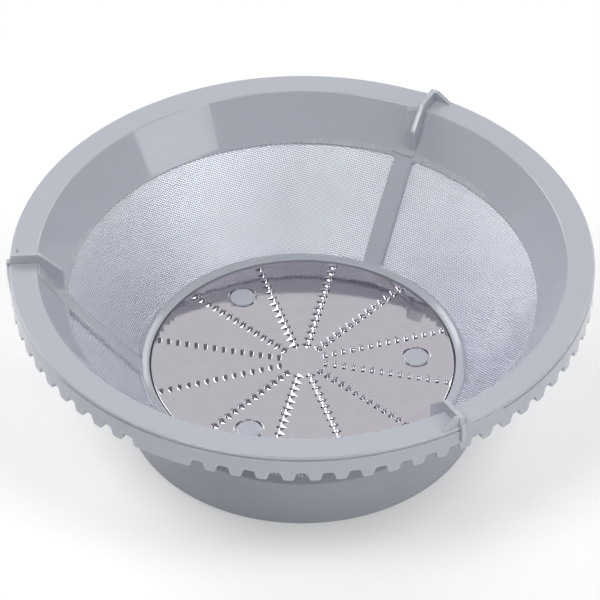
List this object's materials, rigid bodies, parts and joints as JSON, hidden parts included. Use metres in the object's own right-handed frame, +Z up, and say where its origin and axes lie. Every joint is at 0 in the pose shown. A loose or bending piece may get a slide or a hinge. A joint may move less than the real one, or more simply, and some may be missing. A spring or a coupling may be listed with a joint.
{
  "type": "juicer filter basket",
  "caption": "Filter basket of a centrifugal juicer: a conical moulded frame with fine steel mesh windows, a toothed skirt, rim fins and a steel grater disc on its floor.",
  "frame": {"origin": "on the spin axis, level with the foot of the collar that the basket stands on", "axes": "+Z up along the spin axis, out of the basket's mouth; +X through the middle of mesh_panel_1's window"},
  "size_m": [0.1609, 0.16, 0.0566],
  "materials": {
    "grey_plastic": "gloss, moulded light bluish grey",
    "mesh_steel": "bright etched stainless steel",
    "disc_steel": "polished stainless steel"
  },
  "bodies": {
    "root": {"basket_frame": "grey_plastic", "mesh_panel_1": "mesh_steel", "mesh_panel_2": "mesh_steel", "mesh_panel_3": "mesh_steel", "grater_disc": "disc_steel"}
  },
  "joints": []
}
